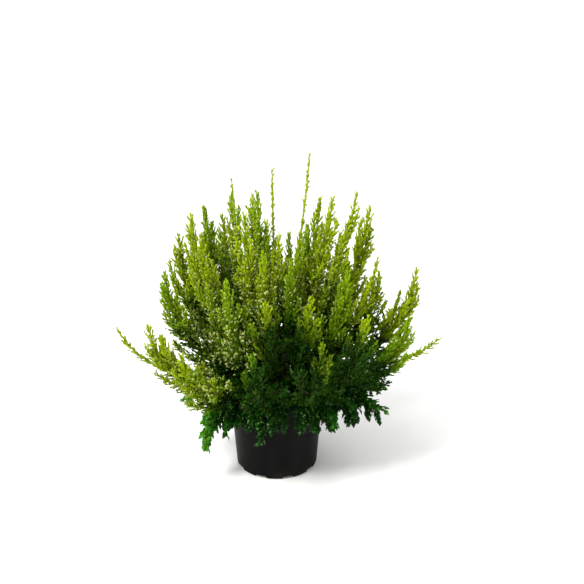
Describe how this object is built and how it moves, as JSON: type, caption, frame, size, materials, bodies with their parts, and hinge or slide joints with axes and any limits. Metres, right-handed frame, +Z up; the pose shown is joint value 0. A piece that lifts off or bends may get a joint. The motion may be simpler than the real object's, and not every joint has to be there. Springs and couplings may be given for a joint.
{
  "type": "potted heather",
  "caption": "Bushy heather with lime green upright sprays of scale leaves and buds and a dark skirt of low shoots, in a small black nursery pot of peat.",
  "frame": {"origin": "middle of the pot's flat base, on the surface that it stands on", "axes": "+Z up along the pot's axis, +X to the right and +Y away from the side seen first; the bush reaches furthest towards +X"},
  "size_m": [0.343, 0.2708, 0.354],
  "materials": {
    "pot": "matte",
    "soil": "matte",
    "foliage_yellow": "matte",
    "foliage_lime": "matte",
    "foliage_green": "matte",
    "foliage_dark": "matte"
  },
  "bodies": {
    "root": {"pot": "pot", "soil": "soil", "spray_01": "foliage_yellow", "spray_02": "foliage_lime", "spray_03": "foliage_green", "spray_04": "foliage_yellow", "spray_05": "foliage_lime", "spray_06": "foliage_yellow", "spray_07": "foliage_lime", "spray_08": "foliage_green", "spray_09": "foliage_yellow", "spray_10": "foliage_lime", "spray_11": "foliage_green", "spray_12": "foliage_yellow", "spray_13": "foliage_lime", "spray_14": "foliage_green", "spray_15": "foliage_yellow", "spray_16": "foliage_yellow", "spray_17": "foliage_lime", "spray_18": "foliage_green", "spray_19": "foliage_yellow", "spray_20": "foliage_lime", "spray_21": "foliage_green", "spray_22": "foliage_yellow", "spray_23": "foliage_lime", "spray_24": "foliage_green", "spray_25": "foliage_yellow", "spray_26": "foliage_lime", "spray_27": "foliage_green", "spray_28": "foliage_yellow", "spray_29": "foliage_yellow", "spray_30": "foliage_lime", "spray_31": "foliage_green", "spray_32": "foliage_yellow", "spray_33": "foliage_lime", "spray_34": "foliage_green", "spray_35": "foliage_yellow", "spray_36": "foliage_lime", "spray_37": "foliage_green", "spray_38": "foliage_yellow", "spray_39": "foliage_lime", "spray_40": "foliage_green", "spray_41": "foliage_yellow", "spray_42": "foliage_lime", "spray_43": "foliage_green", "low_shoot_01": "foliage_dark", "low_shoot_02": "foliage_dark", "low_shoot_03": "foliage_dark", "low_shoot_04": "foliage_dark", "low_shoot_05": "foliage_dark", "low_shoot_06": "foliage_dark", "low_shoot_07": "foliage_dark", "low_shoot_08": "foliage_dark", "low_shoot_09": "foliage_lime", "low_shoot_10": "foliage_dark", "low_shoot_11": "foliage_dark", "low_shoot_12": "foliage_dark", "low_shoot_13": "foliage_dark", "low_shoot_14": "foliage_dark", "low_shoot_15": "foliage_lime"}
  },
  "joints": []
}
